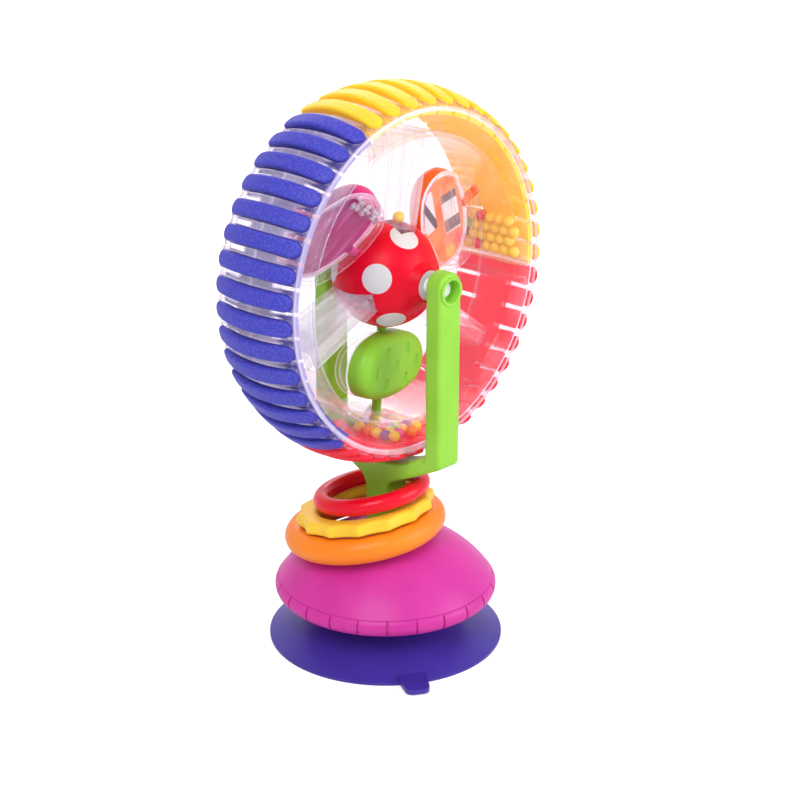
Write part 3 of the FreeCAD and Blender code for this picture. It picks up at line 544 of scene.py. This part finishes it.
# Painted light: salmon where light through the orange half falls on the card, with two soft red and yellow
# spots in it.
painted_salmon_light = stripe_finish.blend(haze, colour(252, 122, 82), colour(255, 150, 104))
painted_salmon_light = stripe_finish.blend(spot(across, along, (5.0, -10.5), 3.4) * 0.8, painted_salmon_light, colour(244, 84, 96))
painted_salmon_light = stripe_finish.blend(spot(across, along, (0.5, -13.0), 3.0) * 0.8, painted_salmon_light, colour(250, 196, 76))
stripe_finish.set(base_color=stripe_finish.blend(patch, painted_salmon_light, paper))
wear(["orange_striped_card"], stripe_finish)

# %% Creased card
foil_finish = Finish("creased magenta card", specular_ior_level=0.5)
across, along = card_places(foil_finish, "spinner_pink_spin")
stretched = foil_finish.add("ShaderNodeCombineXYZ", {}, [across + along * 0.25, along * 0.12, 0.0])
crease = foil_finish.add("ShaderNodeTexNoise", {}, {"Vector": stretched, "Scale": 0.35, "Detail": 2.0})
fold = crease.ramp(0.5, 0.66)
sheet = foil_finish.blend(fold * 0.6, colour(178, 48, 118), colour(212, 112, 168))
card_end = -11.4
end = 1 - along.ramp(card_end - 0.2, card_end + 0.2)
foil_finish.set(
    base_color=foil_finish.blend(end, sheet, colour(244, 150, 196)),
    roughness=0.3 + end * 0.1,
    normal=foil_finish.bump(crease, 0.7 * mm),
)
wear(["pink_foil_card"], foil_finish)

# %% [markdown]
# ## Pieces grown by node trees
# A geometry node tree is a recipe for a mesh. Its sizes are named inputs, so the same recipe could make a
# wider ring or more crystals. The tree runs once, its result becomes a plain mesh, and the mesh is put in
# its place by moving its points.


# %% Geometry tree helpers
class Recipe(Graph):
    """A geometry node tree with named inputs."""

    def __init__(self, name):
        super().__init__(bpy.data.node_groups.new(name, "GeometryNodeTree"))
        self.values = {}
        self.tree.interface.new_socket("Geometry", in_out="OUTPUT", socket_type="NodeSocketGeometry")
        self.entry = self.add("NodeGroupInput")

    def size(self, name, value, kind="Float"):
        """A named input with the value that this piece uses."""
        item = self.tree.interface.new_socket(name, in_out="INPUT", socket_type="NodeSocket" + kind)
        self.values[item.identifier] = value
        return self.entry.other(name)

    def grow(self, geometry, material, place):
        """Finish the tree, run it once and return a plain object with its points moved to their place."""
        dressed = self.add("GeometryNodeSetMaterial", {}, {"Geometry": geometry, "Material": material})
        self.add("NodeGroupOutput", {}, {0: self.add("GeometryNodeRealizeInstances", {}, [dressed])})
        holder = bpy.data.objects.new("holder", bpy.data.meshes.new("holder"))
        bpy.context.scene.collection.objects.link(holder)
        modifier = holder.modifiers.new(self.tree.name, "NODES")
        modifier.node_group = self.tree
        for identifier, value in self.values.items():
            modifier[identifier] = value
        evaluated = holder.evaluated_get(bpy.context.evaluated_depsgraph_get())
        mesh = bpy.data.meshes.new_from_object(evaluated)
        bpy.data.objects.remove(holder)
        mesh.transform(place)
        mesh.name = self.tree.name
        piece = bpy.data.objects.new(self.tree.name, mesh)
        bpy.context.scene.collection.objects.link(piece)
        print(piece.name, "has", len(mesh.polygons), "faces")
        return piece


# %% [markdown]
# ## Lobed yellow ring
# The real ring is one soft moulding: its hole is round and its outside swings in and out fourteen times,
# with no sharp edge anywhere. It could be cut from a disc and rounded with a bevel, but a bevel creases
# where the hollows are tight. Its shape follows a rule, so a node tree can make it from that rule. A grid
# is bent into a ring. One way across the grid becomes the turn about the ring, and the other way becomes
# the turn about its section, a rectangle with very round corners.

# %% Grow the yellow ring
lobes = 14
points_per_lobe = 24
section_points = 40
ring = Recipe("yellow_lobed_ring")
middle_radius = ring.size("Middle radius", 18.75 * mm)
section_width = ring.size("Section width", 7.3 * mm)
section_height = ring.size("Section height", 4.4 * mm)
lobe_count = ring.size("Lobes", float(lobes))
lobe_depth = ring.size("Lobe depth", 1.5 * mm)
grid = ring.add("GeometryNodeMeshGrid", {}, {
    "Vertices X": lobes * points_per_lobe + 1,
    "Vertices Y": section_points + 1,
})
u, v, _ = ring.parts(ring.add("GeometryNodeInputPosition"))
turn = u * math.tau
section = v * math.tau


def squared(wave):
    """Push a wave towards a square one, which gives a section rounder corners and flatter sides."""
    return wave.math("ABSOLUTE").math("POWER", 0.6) * wave.math("SIGN")


nearness = ((turn * lobe_count / math.tau + 0.5).math("FRACT") - 0.5).math("ABSOLUTE") * 2
hollow = (nearness * (math.pi / 2)).math("COSINE").math("SMOOTH_MAX", 0.0, 0.3)
out = squared(section.math("COSINE"))
outside = out.math("MAXIMUM", 0.0)
reach = middle_radius + out * section_width * 0.5 - outside * hollow * lobe_depth
height = squared(section.math("SINE")) * section_height * 0.5
sideways = reach * turn.math("COSINE")
forwards = reach * turn.math("SINE")
bent = ring.add("ShaderNodeCombineXYZ", {}, [sideways, forwards, height])
shape = ring.add("GeometryNodeSetPosition", {}, {"Geometry": grid, "Position": bent})
shape = ring.add("GeometryNodeMergeByDistance", {}, {"Geometry": shape, "Distance": 0.01 * mm})
shape = ring.add("GeometryNodeSetShadeSmooth", {}, {"Geometry": shape})
centre, lean = joint_place("ring_yellow_spin")
upright = Vector((0, 0, 1)).rotation_difference(lean).to_matrix().to_4x4()
lobed_ring = ring.grow(shape, yellow_ring_finish.material, Matrix.Translation(centre) @ upright)
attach(lobed_ring, "loose_ring_yellow")
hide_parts("ring_yellow")

# %% [markdown]
# ## Crystals in the pink capsule
# Between the end of the card and the end of the capsule lie small clear crystals that sparkle. They could
# be placed by hand or dropped by a simulation. A scatter in a small box is enough for so small a heap.
# Each crystal is one rough pebble, turned and sized at random with a fixed seed, so every run gives the
# same heap. The heap is laid out on the capsule's own axes: across, into it and along it.

# %% Grow the crystals
crystal_finish = Finish("clear pink crystals", transmission_weight=0.6, ior=1.5, roughness=0.05)
sparkle = crystal_finish.noise(2 * mm).ramp(0.4, 0.6)
crystal_finish.set(base_color=crystal_finish.blend(sparkle, colour(255, 252, 254), colour(250, 190, 222)))
heap_low = (-6 * mm, -3.6 * mm, -15 * mm)
heap_high = (6 * mm, -1.4 * mm, -12 * mm)
heap = Recipe("pink_crystals")
count = heap.size("Count", 60, "Int")
crystal_radius = heap.size("Crystal radius", 0.8 * mm)
seed = heap.size("Seed", 4, "Int")


def scatter(low, high, shift):
    """A random vector for each crystal."""
    return heap.add("FunctionNodeRandomValue", {"data_type": "FLOAT_VECTOR"},
                    {"Min": low, "Max": high, "Seed": seed + shift})


points = heap.add("GeometryNodePoints", {}, {"Count": count, "Position": scatter(heap_low, heap_high, 0)})
pebble = heap.add("GeometryNodeMeshIcoSphere", {}, {"Radius": crystal_radius, "Subdivisions": 1})
heap_shape = heap.add("GeometryNodeInstanceOnPoints", {}, {
    "Points": points,
    "Instance": pebble,
    "Rotation": scatter((0, 0, 0), (6.28, 6.28, 6.28), 1),
    "Scale": scatter((0.6, 0.6, 0.6), (1.3, 1.3, 1.3), 2),
})
centre, pins = joint_place("spinner_pink_spin")
pink_turn = math.radians(capsule_turns["pink"])
capsule_axes = Matrix((pins, axle_direction, pins.cross(axle_direction))).transposed().to_4x4()
pink_place = Matrix.Translation(centre) @ capsule_axes @ Matrix.Rotation(pink_turn, 4, "X")
crystals = heap.grow(heap_shape, crystal_finish.material, pink_place)
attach(crystals, "spinner_pink")

# %% [markdown]
# ## Beads, cup and metal
# The beads are glossy. The cup is soft and slightly shiny, with faint rings from its mould. The rings could
# be cut into its shape, but they are only a few hundredths of a millimetre deep, so a bump in the shader
# is the right size of tool. The screws and the washer are plated steel.

# %% Bead finishes
bead_shades = {
    "yellow": (246, 204, 40),
    "orange": (246, 130, 40),
    "red": (226, 40, 54),
    "pink": (236, 62, 150),
    "green": (126, 196, 50),
    "purple": (122, 50, 160),
}
for name, shade in bead_shades.items():
    finish = Finish(name + " bead", base_color=colour(*shade), specular_ior_level=0.5)
    finish.set(roughness=finish.noise(1.5 * mm) * 0.15 + 0.18)
    wear(["beads_" + name], finish)

# %% Cup and metal finishes
cup_finish = Finish("violet cup rubber", specular_ior_level=0.45)
x, y, z = cup_finish.parts(cup_finish.place)
reach = (x * x + y * y).math("SQRT")
ring_pattern = (reach * (math.tau / (4.5 * mm))).math("SINE") * 0.5 + 0.5
cloud = cup_finish.noise(8 * mm, 3.0)
cup_finish.set(
    base_color=cup_finish.blend(cloud.ramp(0.3, 0.7) * 0.4, colour(62, 48, 152), colour(50, 38, 134)),
    roughness=cloud * 0.12 + 0.26,
    normal=cup_finish.bump(ring_pattern * 0.4 + cup_finish.noise(0.8 * mm) * 0.6, 0.02 * mm),
)
wear(["suction_cup"], cup_finish)

steel_finish = Finish("plated steel", metallic=1.0, base_color=colour(190, 190, 194))
steel_finish.set(roughness=steel_finish.noise(0.6 * mm) * 0.2 + 0.25)
wear(["base_screws", "neck_washer", "neck_screw"], steel_finish)

# %% [markdown]
# ## Floor, light and camera
# The picture has a white floor that keeps a soft shadow, and large soft lamps. A photograph of a studio
# could light the toy, but lamps are easier to place and to name. The surround is white where the camera
# looks straight at it. Bent and mirrored light meets a pale lilac instead, which gives the clear parts
# their edges. The camera stands where the photographer's stood.

# %% Floor
floor_size = 8.0
bpy.ops.mesh.primitive_plane_add(size=floor_size, location=(0, 0, 0))
floor = bpy.context.object
floor.name = "floor"
near_glow = 0.42
floor_finish = Finish("white floor", base_color=colour(236, 236, 236), roughness=0.9)
floor_finish.set(specular_ior_level=0.0)
seen = floor_finish.add("ShaderNodeLightPath", output="Is Camera Ray")
across, depth, _ = floor_finish.parts(floor_finish.place)
away = (across * across + depth * depth).math("SQRT").ramp(0.1, 1.2)
floor_glow = seen * (away * (1 - near_glow) + near_glow)
floor_finish.set(emission_color=floor_finish.blend(floor_glow, (0, 0, 0, 1), (1, 1, 1, 1)))
floor_finish.set(emission_strength=1.0)
floor.data.materials.append(floor_finish.material)

# %% Ceiling
ceiling_size = 4.0
ceiling_height = 1.6
bpy.ops.mesh.primitive_plane_add(size=ceiling_size, location=(0, 0, ceiling_height))
ceiling = bpy.context.object
ceiling.name = "ceiling"
ceiling_finish = Finish("lilac ceiling", base_color=colour(200, 190, 206), roughness=0.9)
ceiling_finish.set(specular_ior_level=0.0)
ceiling_finish.set(emission_color=colour(196, 188, 202), emission_strength=0.55)
ceiling.data.materials.append(ceiling_finish.material)

# %% World and lamps
world = bpy.data.worlds.new("studio")
bpy.context.scene.world = world
world.use_nodes = True
sky = Graph(world.node_tree)
direct = sky.add("ShaderNodeLightPath", output="Is Camera Ray")
bent = direct.other("Is Glossy Ray").math("MAXIMUM", direct.other("Is Transmission Ray"))
surround = sky.blend(bent, colour(206, 202, 208), colour(240, 234, 242))
background = sky.add("ShaderNodeBackground", {}, {"Color": sky.blend(direct, surround, (1, 1, 1, 1))})
sky.add("ShaderNodeOutputWorld", {}, {"Surface": background})

aim = Vector((0, 0, 0.08004))


def soft_lamp(name, place, size, power):
    """A square area lamp that looks at the middle of the toy."""
    data = bpy.data.lights.new(name, "AREA")
    data.energy = power
    data.size = size
    lamp = bpy.data.objects.new(name, data)
    lamp.location = place
    lamp.rotation_euler = (aim - Vector(place)).to_track_quat("-Z", "Y").to_euler()
    bpy.context.scene.collection.objects.link(lamp)


soft_lamp("key lamp", (-0.55, -0.35, 0.75), 0.5, 4.4)
soft_lamp("fill lamp", (0.45, -0.75, 0.4), 0.6, 4.0)
soft_lamp("rim lamp", (0.5, 0.55, 0.6), 0.5, 2.6)

# %% Camera
camera_azimuth = math.radians(-45.955)
camera_height = math.radians(20.889)
camera_distance = 0.58704
data = bpy.data.cameras.new("camera")
data.sensor_width = 36
data.lens = 84.63
data.shift_x = 0.0181
camera = bpy.data.objects.new("camera", data)
level = math.cos(camera_height)
back = Vector((
    math.sin(camera_azimuth) * level,
    -math.cos(camera_azimuth) * level,
    math.sin(camera_height),
))
camera.location = aim + back * camera_distance
camera.rotation_euler = Euler((math.pi / 2 - camera_height, 0, camera_azimuth))
bpy.context.scene.collection.objects.link(camera)
bpy.context.scene.camera = camera
bpy.context.scene.view_settings.view_transform = "Standard"
bpy.context.scene.cycles.max_bounces = 16
bpy.context.scene.cycles.transmission_bounces = 12
bpy.context.scene.cycles.transparent_max_bounces = 48
